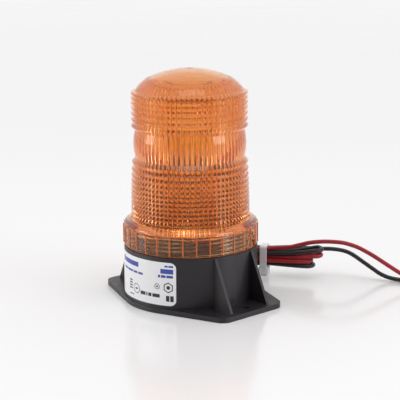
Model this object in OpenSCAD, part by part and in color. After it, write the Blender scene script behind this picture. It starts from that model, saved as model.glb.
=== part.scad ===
// Bolt-down strobe beacon with a screw-on amber lens.
// Millimetres, +Z up, origin at the centre of the foot plate's underside.
// The feet lie along X, the label faces -Y and the leads leave through the +Y wall.

/* [Foot plate] */
// Distance between the two foot ends
foot_span = 122.6; // [116:0.2:130]
// Width of each foot end
foot_w = 55.8; // [48:0.2:62]
// Radius of the foot corners
foot_corner_r = 7.4; // [3:0.2:10]
// Thickness of the foot plate
foot_t = 3.4; // [2.6:0.1:5]
// Radius of the round middle of the foot plate
plate_r = 45.6; // [45.6:0.1:48]
// Distance between the two bolt holes
bolt_spacing = 106; // [104:0.5:110]
// Diameter of each bolt hole
bolt_d = 5.6; // [4:0.1:6.5]

/* [Housing] */
// Radius of the housing wall at the foot plate
wall_bottom_r = 44.9; // [44.6:0.1:45.2]
// Radius of the housing wall under the lens
wall_top_r = 44.6; // [44:0.1:44.8]
// Height of the shoulder that the lens collar comes down to
shoulder_z = 37.2; // [34:0.1:40]
// Radius of the hollow inside the housing
hollow_r = 42; // [41:0.1:42.2]
// Thickness of each foot gusset
gusset_t = 2; // [1.5:0.1:3]
// Distance of each gusset from the middle plane
gusset_y = 15.8; // [13:0.1:18]

/* [Lens thread] */
// Outer radius of the neck between its threads
neck_r = 40.9; // [40.5:0.1:41]
// Pitch of the lens thread
thread_pitch = 2.7; // [2.4:0.1:3]
// Radial height of each thread ridge
thread_h = 1.3; // [1:0.05:1.3]
// Width of a ridge at its root
thread_root_w = 1.1; // [0.8:0.05:1.1]
// Width of a ridge at its crest
thread_crest_w = 0.6; // [0.4:0.05:0.7]
// Turns of thread on the neck and in the collar
thread_turns = 3; // [2:0.5:3]

/* [Lens] */
// Height of the top of the dome
lens_top_z = 154; // [150:0.1:156]
// Outer radius of the collar between its grip ribs
collar_r = 44.6; // [44.4:0.1:44.8]
// Bore radius of the collar
collar_bore_r = 42.6; // [42.6:0.05:42.8]
// Height of the collar's bottom edge
collar_z = 37.7; // [37.5:0.1:38]
// Number of grip ribs round the collar
grip_ribs = 32; // [24:1:36]
// Bore radius of the lens at the tips of its inner flutes
lens_bore_r = 34.3; // [33.5:0.1:34.5]
// Number of flutes round the bore
flutes = 72; // [48:4:90]
// Depth of each flute
flute_depth = 0.7; // [0.3:0.1:0.8]
// Crest radius of the upper ring prisms
upper_crest_r = 38.4; // [38.2:0.05:38.8]
// Radius of the smooth belly at its fullest
belly_r = 37.35; // [37:0.05:37.8]
// Height of the middle of the belly
belly_z = 105; // [104.5:0.1:105.5]
// Ring prisms above the belly
upper_rings = 7; // [5:1:7]
// Ring prisms below the belly
lower_rings = 13; // [9:1:13]

/* [Flash tube] */
// Outer radius of the glass tube
glass_r = 2.2; // [2:0.1:2.6]
// Half the distance between the two glass legs
glass_leg = 4; // [3.6:0.1:4.2]
// Height at which the glass leaves its plug
glass_z = 97; // [96:0.1:98]
// Height of the straight part of each leg
glass_straight = 13; // [10:0.5:16]
// Radius of the plug
plug_r = 6.5; // [6.2:0.1:7]

/* [Circuit board] */
// Radius of the circuit board
board_r = 35; // [33:0.5:35.5]
// Height of the board's underside
board_z = 30; // [29.5:0.1:30.5]
// Thickness of the board
board_t = 1.6; // [1:0.2:2]

/* [Leads] */
// Diameter of each lead
lead_d = 3; // [2:0.1:3]
// Reach of the hank from its tie to its folds on the tail side
hank_reach = 42.5; // [36:0.5:44]
// Reach of the hank from its tie to its folds on the other side
hank_back_reach = 39.5; // [34:0.5:40]
// Height of the hank under its tie
hank_h = 13.4; // [12:0.2:14]
// Thickness of the hank under its tie
hank_t = 7.4; // [6:0.1:8]
// Width of the cable tie's strap
tie_w = 4.8; // [3.6:0.1:5]

/* [Hidden] */
$fn = 96;
eps = 0.01;

amber = [1, 0.5, 0.08, 0.75];
black_plastic = [0.1, 0.1, 0.11];
steel = [0.72, 0.73, 0.75];
brass = [0.82, 0.66, 0.32];
copper = [0.76, 0.42, 0.24];

// Foot plate
foot_x = foot_span / 2;
corner_c = [foot_x - foot_corner_r, foot_w / 2 - foot_corner_r];
tangent_a = atan2(corner_c[1], corner_c[0]) + acos((plate_r - foot_corner_r) / norm(corner_c));
tangent_n = [cos(tangent_a), sin(tangent_a)];

// Level arcs in one turn of thread
thread_arcs = 20;

// Housing heights and the bottom cover
cover_t = 2.2;
cover_z = 0.2;
cover_r = 42.8;
recess_r = 43;
seal_r = 42.1;
seal_h = 0.6;
recess_z = cover_z + cover_t + 0.4;
neck_top_z = 49.3;
deck_t = 2.4;
deck_z = neck_top_z - 1.6 - deck_t;
neck_bore_r = 38.2;
ledge_z = 34;
boss_r = 4.6;
boss_place = 37.8;
boss_top_z = 14;
stand_r = 3.2;
stand_place = 29;
stand_turn = 60;
lead_exit_z = 16;
exit_hole_r = 4.6;

// Lens
ring_first = 4.7;
ring_last = 2.8;
ring_decay = 2.2;
ring_depth = 1.6;
upper_start = belly_z + 11.6;
lower_start = belly_z - 11.9;
lower_crest_r = 38.5;
lower_growth = 1.0;
ledge_under_z = 50.9;
dome_edge = [28.7, 147.3];
dome_r = (dome_edge[0] * dome_edge[0] + pow(lens_top_z - dome_edge[1], 2))
    / (2 * (lens_top_z - dome_edge[1]));
wall_t = 2.4;
bevel_in = [[33.2, 138.6], [27.8, 144.7]];
bevel_tilt = atan2(bevel_in[0][0] - bevel_in[1][0], bevel_in[1][1] - bevel_in[0][1]);
bevel_l = norm(bevel_in[1] - bevel_in[0]) + 1;
grip_w = 1.2;
grip_foot = 0.7;
grip_h = 13.9;
grip_out = 0.6;
grip_turn = -2.4;

// Flash tube and its post
post_r = 5;
post_bore_r = 3.6;
post_foot_r = 11;
post_top_z = 80;
socket_top_z = 86.2;
plug_z = 86.2;
pin_r = 0.75;
pin_circle = 3.4;
contact_r = 1.15;

// Parts under the board
cap_at = [-16, 11];
cap_r = 9;
cap_h = 22;
trafo_at = [13, -12];
sink_at = [-13, -16];
tab_hole_z = 15.4;

// Leads: grommet, hank direction and the routes outside the hank
lead_r = lead_d / 2;
lead_gap = 2.2;
hank_mid = [1, 68];
hank_turn = 34;
hank_z = 14.9;
lobe_high = 23.6;
lobe_r = 5.8;
back_lobe_r = 8.9;
red_exit_route = [
    [-2.2, 45, 16], [-2.2, 48, 16], [-3.6, 52.5, 15.2], [-5.3, 57, 13.6], [-5.6, 60.5, 12.7], [-4, 62.9, 12.5]
];
black_exit_route = [
    [2.2, 45, 16], [2.2, 48, 16], [1.6, 52.5, 14.2], [0, 57, 11.6], [-1.2, 60.4, 10], [-1.2, 63.4, 9.7]
];
red_tail_route = [
    [16.8, 76.8, 22.6], [20, 79, 23.6], [23.2, 81.2, 24.7], [29, 85, 26.7], [35.8, 89.7, 27.9],
    [42, 94, 28.2], [48.4, 98.2, 27.9], [53.5, 101.5, 26.6], [58, 104.6, 24.7], [65, 109.4, 20.4],
    [73, 114.8, 14.6], [80, 119.4, 9.6], [87, 124, 5.4], [94.5, 128.6, 2.6], [103, 133, 1.7],
    [113, 137.4, 1.5], [124, 141, 1.5]
];
black_tail_route = [
    [14.5, 83.8, 21], [18.8, 88, 20.6], [23.1, 91.3, 20.5], [27, 94, 20.5], [31, 96.6, 20.6],
    [36, 100, 20.8], [41, 103.3, 20.4], [45, 106.1, 19.3], [48.6, 108.5, 17.3], [54, 112.2, 13],
    [59.7, 116, 8.5], [64.3, 119.1, 4.9], [70, 122.6, 2.5], [77, 126.6, 1.6], [86, 131, 1.5],
    [96, 135, 1.5], [106, 138, 1.5]
];

// ---------------------------------------------------------------- helpers

// Sum of the first n ring pitches: wide next to the belly and narrow far from it
function ring_pitch(i) = ring_last + (ring_first - ring_last) * exp(-i / ring_decay);
function ring_run(n) = n <= 0 ? 0 : ring_run(n - 1) + ring_pitch(n - 1);

// Unit vector, and the side and up vectors that stay level along a route
function unit(v) = v / norm(v);
function heading(path, i) = unit(path[min(i + 1, len(path) - 1)] - path[max(i - 1, 0)]);
function side_of(d) = unit(cross(abs(d[2]) > 0.95 ? [0, -1, 0] : [0, 0, 1], d));

// One ring of a swept tube
function tube_ring(p, d, r, sides) = [
    for (k = [0:sides - 1])
        let (u = side_of(d), v = cross(d, u), a = 360 * k / sides)
            p + r * (cos(a) * u + sin(a) * v)
];

// Catmull-Rom point between p1 and p2
function blend4(p0, p1, p2, p3, t) = 0.5 * (2 * p1 + (p2 - p0) * t
    + (2 * p0 - 5 * p1 + 4 * p2 - p3) * t * t + (3 * p1 - p0 - 3 * p2 + p3) * t * t * t);
function smooth_path(path, steps) = [
    for (i = [0:len(path) - 2])
        for (s = [0:steps - 1])
            blend4(path[max(i - 1, 0)], path[i], path[i + 1], path[min(i + 2, len(path) - 1)], s / steps),
    path[len(path) - 1]
];

module swept_tube(path, r, sides) {
    n = len(path);
    points = [for (i = [0:n - 1]) each tube_ring(path[i], heading(path, i), r, sides)];
    walls = [
        for (i = [0:n - 2])
            for (k = [0:sides - 1])
                let (a = i * sides + k, b = i * sides + (k + 1) % sides)
                    each [[a, b, b + sides], [a, b + sides, a + sides]]
    ];
    near_cap = [for (k = [1:sides - 2]) [0, k + 1, k]];
    far = (n - 1) * sides;
    far_cap = [for (k = [1:sides - 2]) [far, far + k, far + k + 1]];
    polyhedron(points = points, faces = [for (f = concat(walls, near_cap, far_cap)) [f[2], f[1], f[0]]]);
}

// Helical ridge made of short level arcs: root on root_r, crest thread_h away towards dir (+1 out, -1 in)
module thread_ridge(root_r, dir, z0, turns) {
    n = floor(turns * thread_arcs);
    step = 360 / thread_arcs;
    for (i = [0:n - 1]) {
        h = thread_h * min(1, (i + 1) / 3, (n - i) / 3);
        root = root_r - dir * 0.25;
        crest = root_r + dir * h;
        rotate([0, 0, i * step])
            translate([0, 0, z0 + thread_pitch * i / thread_arcs])
                rotate_extrude(angle = step + 0.3)
                    polygon([
                        [root, -thread_root_w / 2],
                        [crest, -thread_crest_w / 2],
                        [crest, thread_crest_w / 2],
                        [root, thread_root_w / 2]
                    ]);
    }
}

module at_angles(count, turn = 0) {
    for (i = [0:count - 1]) {
        rotate([0, 0, turn + 360 * i / count]) children();
    }
}

module pan_screw(head_r, head_h, shank_r, shank_l) {
    difference() {
        union() {
            cylinder(r = head_r, h = head_h);
            translate([0, 0, head_h - eps]) cylinder(r = shank_r, h = shank_l);
        }
        cross_slot(head_r * 1.2, head_h * 0.5);
    }
}

module cross_slot(l, depth) {
    w = l / 4;
    translate([-l / 2, -w / 2, -eps]) cube([l, w, depth]);
    translate([-w / 2, -l / 2, -eps]) cube([w, l, depth]);
}

// ---------------------------------------------------------------- housing

module foot_outline() {
    circle(r = plate_r);
    for (sx = [-1, 1]) {
        polygon([
            [sx * plate_r * tangent_n[0], plate_r * tangent_n[1]],
            [sx * (corner_c[0] + foot_corner_r * tangent_n[0]), corner_c[1] + foot_corner_r * tangent_n[1]],
            [sx * corner_c[0], foot_w / 2 - foot_corner_r],
            [sx * foot_x, corner_c[1]],
            [sx * foot_x, -corner_c[1]],
            [sx * corner_c[0], -corner_c[1]],
            [sx * (corner_c[0] + foot_corner_r * tangent_n[0]), -corner_c[1] - foot_corner_r * tangent_n[1]],
            [sx * plate_r * tangent_n[0], -plate_r * tangent_n[1]]
        ]);
        for (sy = [-1, 1]) {
            translate([sx * corner_c[0], sy * corner_c[1]]) circle(r = foot_corner_r);
        }
    }
}

module gusset() {
    rotate([90, 0, 0])
        linear_extrude(height = gusset_t, center = true)
            polygon([
                [40, foot_t - 0.2], [57.6, foot_t - 0.2], [57.2, foot_t + 0.9],
                [42.6, shoulder_z - 0.8], [40, shoulder_z - 0.8]
            ]);
}

module housing_hollow() {
    translate([0, 0, -eps]) cylinder(r = recess_r, h = recess_z + eps);
    cylinder(r = hollow_r, h = ledge_z);
    translate([0, 0, ledge_z - eps]) cylinder(r = neck_bore_r, h = deck_z - ledge_z + eps);
    translate([0, 0, deck_z + deck_t]) cylinder(r = neck_bore_r, h = 10);
}

module base_housing() {
    color(black_plastic)
        difference() {
            union() {
                difference() {
                    union() {
                        linear_extrude(height = foot_t) foot_outline();
                        cylinder(r1 = wall_bottom_r, r2 = wall_top_r, h = shoulder_z);
                        cylinder(r = neck_r, h = neck_top_z);
                        for (sx = [0, 1]) {
                            mirror([sx, 0, 0]) {
                                for (sy = [-1, 1]) {
                                    translate([0, sy * gusset_y, 0]) gusset();
                                }
                            }
                        }
                    }
                    housing_hollow();
                }
                at_angles(4, 45) {
                    translate([boss_place, 0, recess_z]) cylinder(r = boss_r, h = boss_top_z - recess_z);
                }
                at_angles(3, stand_turn) {
                    translate([stand_place, 0, board_z + board_t])
                        cylinder(r = stand_r, h = deck_z - board_z - board_t + eps);
                }
                thread_ridge(neck_r, 1, 40.4, thread_turns);
            }
            at_angles(4, 45) translate([boss_place, 0, -eps]) cylinder(r = 1.32, h = 12);
            at_angles(3, stand_turn) translate([stand_place, 0, board_z]) cylinder(r = 1.22, h = 10);
            for (sx = [-1, 1]) {
                translate([sx * bolt_spacing / 2, 0, -1]) cylinder(d = bolt_d, h = foot_t + 2);
            }
            translate([0, 40, lead_exit_z]) rotate([-90, 0, 0]) cylinder(r = exit_hole_r, h = 10);
            at_angles(3) translate([pin_circle - 1.2, 0, deck_z - 1]) cylinder(r = 1, h = deck_t + 2);
            for (sx = [-1, 1]) {
                translate([sx * 8, 0, deck_z - 1]) cylinder(r = 1, h = deck_t + 2);
            }
        }
}

module bottom_cover() {
    color(black_plastic)
        translate([0, 0, cover_z])
            difference() {
                cylinder(r = cover_r, h = cover_t);
                at_angles(4, 45) translate([boss_place, 0, -eps]) cylinder(r = 1.7, h = cover_t + 1);
                at_angles(4, 45) translate([boss_place, 0, -eps]) cylinder(r1 = 3.2, r2 = 1.7, h = 1.5);
                difference() {
                    translate([0, 0, cover_t - seal_h]) cylinder(r = recess_r, h = seal_h + eps);
                    translate([0, 0, cover_t - 1]) cylinder(r = seal_r, h = 2);
                }
            }
}

module cover_seal() {
    color("dimgray")
        translate([0, 0, cover_z + cover_t - seal_h])
            difference() {
                cylinder(r = recess_r - 0.05, h = seal_h + 0.36);
                translate([0, 0, -eps]) cylinder(r = seal_r, h = 2);
            }
}

module cover_screws() {
    color(steel)
        at_angles(4, 45)
            translate([boss_place, 0, cover_z + 0.1])
                difference() {
                    union() {
                        cylinder(r1 = 3, r2 = 1.5, h = 1.5);
                        cylinder(r = 1.3, h = 10.5);
                    }
                    cross_slot(3, 0.8);
                }
}

module wire_grommet() {
    color([0.06, 0.06, 0.06])
        translate([0, 0, lead_exit_z])
            rotate([-90, 0, 0])
                difference() {
                    union() {
                        translate([0, 0, 40.2]) cylinder(r = 5.6, h = 1.3);
                        translate([0, 0, 41]) cylinder(r = exit_hole_r, h = 3.8);
                        translate([0, 0, 44.9]) cylinder(r1 = 6, r2 = 5.2, h = 1.7);
                        translate([0, 0, 44.5]) cylinder(r = exit_hole_r, h = 1);
                    }
                    for (sx = [-1, 1]) {
                        translate([sx * lead_gap, 0, 39]) cylinder(r = lead_r, h = 12);
                    }
                }
}

module label() {
    half_a = 36.6;
    label_z0 = 5.7;
    label_z1 = 34.3;
    cr = 3.6;
    half_w = wall_bottom_r * sin(half_a);
    color("white")
        intersection() {
            difference() {
                cylinder(r1 = wall_bottom_r + 0.16, r2 = wall_top_r + 0.16, h = shoulder_z);
                cylinder(r1 = wall_bottom_r + 0.02, r2 = wall_top_r + 0.02, h = shoulder_z);
            }
            translate([0, -20, 0])
                rotate([90, 0, 0])
                    linear_extrude(height = 40) {
                        translate([-half_w + cr, label_z0]) square([2 * (half_w - cr), label_z1 - label_z0]);
                        translate([-half_w, label_z0 + cr])
                            square([2 * half_w, label_z1 - label_z0 - 2 * cr]);
                        for (sx = [-1, 1]) {
                            for (z = [label_z0 + cr, label_z1 - cr]) {
                                translate([sx * (half_w - cr), z]) circle(r = cr);
                            }
                        }
                    }
        }
}

// ---------------------------------------------------------------- lens

// Scalloped flank of ring i, counted from the belly: dir is +1 above the belly and -1 below it
function ring_points(i, dir, start, crest_r) =
    let (z0 = start + dir * ring_run(i), p = ring_pitch(i), depth = ring_depth * (dir > 0 ? 1 : 0.88))
        [for (s = [0:7]) [crest_r - depth * pow(sin(180 * s / 8), 1.25), z0 + dir * p * s / 8]];

function lower_r(i) = lower_crest_r + lower_growth * (1 - exp(-i / 4));

upper_flank = [for (i = [0:upper_rings - 2]) each ring_points(i, 1, upper_start, upper_crest_r)];
lower_flank_down = [for (i = [0:lower_rings - 2]) each ring_points(i, -1, lower_start, lower_r(i))];
lower_flank = [for (i = [len(lower_flank_down) - 1:-1:0]) lower_flank_down[i]];
belly = [
    for (s = [0:10])
        let (z = belly_z - 9.1 + 18.2 * s / 10, k = (z - belly_z) / 9.1)
            [belly_r - 1.3 * k * k, z]
];
lip_z = upper_start + ring_run(upper_rings - 1);
bevel_top = [35.2, lip_z + 2.3];
collar_shoulder = [[collar_r, 51.6], [44.2, 52.9], [43.2, 53.9], [41.6, 54.6], [40, 55], [39.6, 55.6]];
function dome_z(r) = lens_top_z - dome_r + sqrt(dome_r * dome_r - r * r);
lens_outer = concat(
    [[collar_r, collar_z + 0.5]],
    collar_shoulder,
    lower_flank,
    belly,
    upper_flank,
    [[upper_crest_r, lip_z], [38.1, lip_z + 0.9], [36.4, lip_z + 1.5], bevel_top],
    [
        for (s = [1:4])
            let (t = s / 5)
                [
                    bevel_top[0] + (dome_edge[0] - bevel_top[0]) * pow(t, 1.35),
                    bevel_top[1] + (dome_edge[1] - bevel_top[1]) * t
                ]
    ],
    [for (s = [0:9]) let (r = dome_edge[0] * (1 - s / 10)) [r, dome_z(r)]],
    [[1.6, lens_top_z - 0.02], [1.1, lens_top_z - 0.5], [0, lens_top_z - 0.7]]
);

module lens_solid() {
    rotate_extrude() polygon(concat([[0, collar_z], [collar_r - 0.3, collar_z]], lens_outer));
}

module lens_hollow() {
    step = 360 / flutes;
    star = [
        for (i = [0:2 * flutes - 1])
            let (r = lens_bore_r + flute_depth * (i % 2), a = i * step / 2)
                [r * cos(a), r * sin(a)]
    ];
    flute_top = bevel_in[0][1];
    translate([0, 0, ledge_under_z - 1]) linear_extrude(height = flute_top - ledge_under_z + 1) polygon(star);
    at_angles(flutes, step / 2) {
        translate([(bevel_in[0][0] + bevel_in[1][0]) / 2, 0, (bevel_in[0][1] + bevel_in[1][1]) / 2])
            rotate([0, -bevel_tilt, 0])
                rotate([0, 0, 45])
                    cube([flute_depth * sqrt(2), flute_depth * sqrt(2), bevel_l], center = true);
    }
    rotate_extrude()
        polygon(concat(
            [[0, flute_top - 1], [bevel_in[0][0], flute_top - 1], bevel_in[0], bevel_in[1]],
            [for (s = [0:8]) let (r = (bevel_in[1][0] - 1.2) * (1 - s / 8)) [r, dome_z(r) - wall_t]]
        ));
    translate([0, 0, collar_z - 1]) cylinder(r = collar_bore_r, h = ledge_under_z - collar_z + 1);
}

module lens() {
    color(amber)
        union() {
            difference() {
                union() {
                    lens_solid();
                    at_angles(grip_ribs, grip_turn) {
                        translate([collar_r - 0.6, -grip_w / 2, collar_z + grip_foot])
                            cube([0.6 + grip_out, grip_w, grip_h]);
                    }
                }
                lens_hollow();
            }
            thread_ridge(collar_bore_r, -1, 40.4 + thread_pitch / 2, thread_turns);
        }
}

module lens_gasket() {
    color([0.15, 0.15, 0.15])
        translate([0, 0, neck_top_z + 0.2])
            difference() {
                cylinder(r = neck_r, h = ledge_under_z - neck_top_z - 0.4);
                translate([0, 0, -eps]) cylinder(r = neck_bore_r + 0.2, h = 2);
            }
}

// ---------------------------------------------------------------- flash tube

module tube_post() {
    color([0.93, 0.92, 0.88])
        difference() {
            union() {
                translate([0, 0, deck_z + deck_t]) cylinder(r = post_foot_r, h = 1.8);
                translate([0, 0, deck_z + deck_t]) cylinder(r = post_r, h = post_top_z - deck_z - deck_t);
                translate([0, 0, deck_z + deck_t + 1.7]) cylinder(r1 = post_r + 0.9, r2 = post_r, h = 5);
                translate([0, 0, post_top_z - 4]) cylinder(r1 = post_r, r2 = 6.6, h = 4);
            }
            translate([0, 0, deck_z]) cylinder(r = post_bore_r, h = 60);
            for (sx = [-1, 1]) {
                translate([sx * 8, 0, deck_z]) cylinder(r = 1.3, h = 8);
            }
        }
}

module post_screws() {
    color(steel)
        for (sx = [-1, 1]) {
            translate([sx * 8, 0, deck_z + deck_t + 1.85 + 1.4])
                rotate([180, 0, 0]) pan_screw(1.9, 1.4, 0.95, 4);
        }
}

module tube_socket() {
    color([0.12, 0.1, 0.09])
        translate([0, 0, post_top_z])
            difference() {
                union() {
                    cylinder(r = plug_r, h = socket_top_z - post_top_z - 0.3);
                    translate([0, 0, -3]) cylinder(r = post_bore_r - 0.05, h = 3 + eps);
                }
                at_angles(3) translate([pin_circle, 0, 0.05]) cylinder(r = contact_r, h = 12);
            }
}

module socket_contacts() {
    color(brass)
        at_angles(3)
            translate([pin_circle, 0, post_top_z + 0.1])
                difference() {
                    cylinder(r = contact_r - 0.02, h = 5.4);
                    translate([0, 0, -eps]) cylinder(r = pin_r + 0.06, h = 7);
                }
}

module tube_plug() {
    color([0.22, 0.16, 0.12])
        translate([0, 0, plug_z])
            difference() {
                union() {
                    cylinder(r = plug_r, h = 1.6);
                    translate([0, 0, 1.5]) cylinder(r = plug_r - 0.5, h = 8);
                    translate([0, 0, 9.4]) cylinder(r1 = plug_r - 0.5, r2 = plug_r - 1.2, h = 1);
                }
                at_angles(3) translate([pin_circle, 0, -1]) cylinder(r = pin_r, h = 3);
                for (sx = [-1, 1]) {
                    translate([sx * glass_leg, 0, 8.4]) cylinder(r = glass_r + 0.03, h = 4);
                }
            }
}

module tube_pins() {
    color(brass)
        at_angles(3) translate([pin_circle, 0, plug_z - 5]) cylinder(r = pin_r - 0.01, h = 6.9);
}

module glass_path(r) {
    top = glass_z + glass_straight;
    for (sx = [-1, 1]) {
        translate([sx * glass_leg, 0, glass_z - 2]) cylinder(r = r, h = glass_straight + 2 + eps);
    }
    translate([0, 0, top])
        rotate([90, 0, 0])
            rotate_extrude(angle = 180) translate([glass_leg, 0]) circle(r = r, $fn = 32);
}

module tube_glass() {
    color([0.85, 0.9, 0.92, 0.5])
        difference() {
            glass_path(glass_r);
            glass_path(glass_r - 0.6);
        }
}

module tube_electrodes() {
    color(steel)
        for (sx = [-1, 1]) {
            translate([sx * glass_leg, 0, glass_z - 1.9]) cylinder(r = 0.5, h = 5);
            translate([sx * glass_leg, 0, glass_z + 2.6]) cylinder(r = 1.1, h = 3.2);
        }
}

module trigger_wire() {
    wire_r = 0.3;
    coil_r = glass_r + wire_r + 0.14;
    turns = 5;
    foot = [-glass_leg + coil_r, 0, glass_z - 0.35];
    coil = [
        for (i = [0:turns * 12])
            let (a = i * 30)
                [-glass_leg + coil_r * cos(a), coil_r * sin(a), glass_z + 1.4 + 9.6 * i / (turns * 12)]
    ];
    color(copper) swept_tube(concat([foot], coil), wire_r, 6);
}

module post_wires() {
    color([0.9, 0.88, 0.8])
        at_angles(3)
            translate([pin_circle - 1.2, 0, board_z + board_t + 0.05])
                cylinder(r = 0.8, h = post_top_z - 3.1 - board_z - board_t);
}

// ---------------------------------------------------------------- electronics

module circuit_board() {
    color([0.1, 0.36, 0.2])
        translate([0, 0, board_z])
            difference() {
                cylinder(r = board_r, h = board_t - 0.03);
                at_angles(3, stand_turn) translate([stand_place, 0, -1]) cylinder(r = 1.6, h = 4);
                translate([-2.5, board_r - 3, -1]) cube([5, 4, 4]);
            }
}

module board_screws() {
    color(steel)
        at_angles(3, stand_turn)
            translate([stand_place, 0, board_z - 1.85]) pan_screw(2.8, 1.8, 1.2, 7.5);
}

module under_board(at) {
    translate([at[0], at[1], board_z - 0.05]) mirror([0, 0, 1]) children();
}

module transformer_core() {
    color([0.28, 0.28, 0.3])
        under_board(trafo_at)
            difference() {
                translate([-12.5, -3.3, 1.4]) cube([25, 6.6, 20]);
                for (sx = [-1, 1]) {
                    translate([sx * 6.3 - 3, -4, 4.6]) cube([6, 8, 13.6]);
                }
            }
}

module transformer_bobbin() {
    color([0.12, 0.12, 0.12])
        under_board(trafo_at)
            difference() {
                union() {
                    for (z = [4.8, 16.8]) {
                        translate([-9.2, -9, z]) cube([18.4, 18, 1.2]);
                    }
                    translate([-4.3, -4.3, 4.8]) cube([8.6, 8.6, 13]);
                    for (sx = [-1, 1]) {
                        translate([-7, sx * 8 - 1, 0]) cube([14, 2, 5]);
                    }
                }
                translate([-3.35, -3.35, 4]) cube([6.7, 6.7, 15]);
            }
}

module transformer_winding() {
    color([0.85, 0.65, 0.2])
        under_board(trafo_at)
            difference() {
                translate([0, 0, 6.1])
                    linear_extrude(height = 10.6) {
                        square([11, 17], center = true);
                        square([17, 11], center = true);
                        for (sx = [-1, 1]) {
                            for (sy = [-1, 1]) {
                                translate([sx * 5.5, sy * 5.5]) circle(r = 3);
                            }
                        }
                    }
                translate([-4.35, -4.35, 5]) cube([8.7, 8.7, 13]);
            }
}

module storage_capacitor() {
    color([0.75, 0.76, 0.78])
        under_board(cap_at) cylinder(r = cap_r, h = cap_h);
}

module capacitor_sleeve() {
    color([0.12, 0.14, 0.3])
        under_board(cap_at)
            difference() {
                translate([0, 0, 0.6]) cylinder(r = cap_r + 0.4, h = cap_h - 0.4);
                translate([0, 0, -1]) cylinder(r = cap_r + 0.02, h = cap_h + 1.03);
                translate([0, 0, cap_h - 1]) cylinder(r = cap_r - 1, h = 3);
            }
}

module trigger_coil() {
    color([0.7, 0.5, 0.15])
        translate([14, 10, board_z + board_t]) {
            cylinder(r = 4.2, h = 1);
            translate([0, 0, 0.9]) cylinder(r = 3.4, h = 7);
            translate([0, 0, 7.8]) cylinder(r = 4.2, h = 1);
        }
}

module heat_sink() {
    color([0.7, 0.71, 0.72])
        under_board(sink_at) {
            difference() {
                translate([-9, 0, 0.4]) cube([18, 1.6, 20]);
                translate([0, -1, tab_hole_z]) rotate([-90, 0, 0]) cylinder(r = 1.7, h = 4);
            }
            translate([-9, -7, 18.8]) cube([18, 7.1, 1.6]);
        }
}

module switching_transistor() {
    color([0.1, 0.1, 0.1])
        under_board(sink_at)
            difference() {
                union() {
                    translate([-5, 1.65, 3.6]) cube([10, 4.4, 9]);
                    translate([-5, 1.65, 12]) cube([10, 1.3, 6]);
                    for (x = [-2.5, 0, 2.5]) {
                        translate([x - 0.4, 2.6, 0]) cube([0.8, 0.5, 4]);
                    }
                }
                translate([0, 0, tab_hole_z]) rotate([-90, 0, 0]) cylinder(r = 1.7, h = 8);
            }
}

module transistor_screw() {
    color(steel)
        under_board(sink_at)
            translate([0, 4.95, tab_hole_z]) rotate([90, 0, 0]) pan_screw(2.6, 1.9, 1.45, 6);
}

module film_capacitors() {
    color([0.75, 0.2, 0.12])
        for (x = [-1, 6]) {
            under_board([x, 18]) translate([-3, -7, 0.3]) cube([6, 14, 11]);
        }
}

module axial_part(body_r, body_l, wire_l) {
    rise = body_r + 0.6;
    translate([0, -body_l / 2, rise]) rotate([-90, 0, 0]) cylinder(r = body_r, h = body_l);
    translate([0, -wire_l / 2, rise]) rotate([-90, 0, 0]) cylinder(r = 0.35, h = wire_l, $fn = 16);
    for (sy = [-1, 1]) {
        translate([0, sy * wire_l / 2, 0]) cylinder(r = 0.35, h = rise + 0.35, $fn = 16);
    }
}

module power_resistors() {
    color([0.35, 0.5, 0.55])
        for (i = [0:2]) {
            under_board([20 + 4.6 * i, 10 - 2 * i]) axial_part(1.7, 9, 13);
        }
}

module diodes() {
    color([0.14, 0.14, 0.14])
        for (i = [0:3]) {
            under_board([-26 + 4.4 * i, -7]) axial_part(1.35, 5, 9);
        }
}

module solder_posts() {
    color(brass)
        for (sx = [-1, 1]) {
            under_board([sx * 5, 29]) {
                cylinder(r = 1.5, h = 0.8);
                cylinder(r = 0.7, h = 6);
            }
        }
}

// ---------------------------------------------------------------- leads

module inner_lead(side) {
    route = [
        [side * lead_gap, 45, lead_exit_z], [side * lead_gap, 42, lead_exit_z],
        [side * lead_gap, 37.5, lead_exit_z], [side * 3, 33, 16.6], [side * 4.4, 29.8, 18.4],
        [side * 5, 29, 21], [side * 5, 29, 23.85]
    ];
    swept_tube(smooth_path(route, 2), lead_r - 0.02, 8);
}

module inner_red_lead() {
    color("firebrick") inner_lead(-1);
}

module inner_black_lead() {
    color([0.08, 0.08, 0.08]) inner_lead(1);
}

module red_lead_exit() {
    color("firebrick") swept_tube(red_exit_route, lead_r - 0.02, 8);
}

module black_lead_exit() {
    color([0.08, 0.08, 0.08]) swept_tube(black_exit_route, lead_r - 0.02, 8);
}

module red_lead_tail() {
    color("firebrick") swept_tube(red_tail_route, lead_r, 8);
}

module black_lead_tail() {
    color([0.08, 0.08, 0.08]) swept_tube(black_tail_route, lead_r, 8);
}

// Plan outline of the hank: narrow at the tie, round where the wires fold back
module hank_outline() {
    waist_x = tie_w / 2 + 0.6;
    waist_y = hank_t / 2;
    front = [hank_reach - lobe_r, lobe_r - 0.2];
    back = [back_lobe_r - hank_back_reach, back_lobe_r - 0.2];
    polygon([
        front, [waist_x, waist_y], [-waist_x, waist_y], back,
        [back[0], -back[1]], [-waist_x, -waist_y], [waist_x, -waist_y], [front[0], -front[1]]
    ]);
    translate([front[0], 0]) circle(r = lobe_r);
    translate([back[0], 0]) circle(r = back_lobe_r);
}

module lead_hank() {
    color([0.3, 0.06, 0.07])
        translate([hank_mid[0], hank_mid[1], hank_z])
            rotate([0, 0, hank_turn])
                difference() {
                    translate([0, 0, -hank_h / 2])
                        linear_extrude(height = lobe_high - hank_z + hank_h / 2) hank_outline();
                    translate([-tie_w / 2 - 0.4, -10, hank_h / 2]) cube([tie_w + 0.8, 20, 10]);
                }
}

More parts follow.
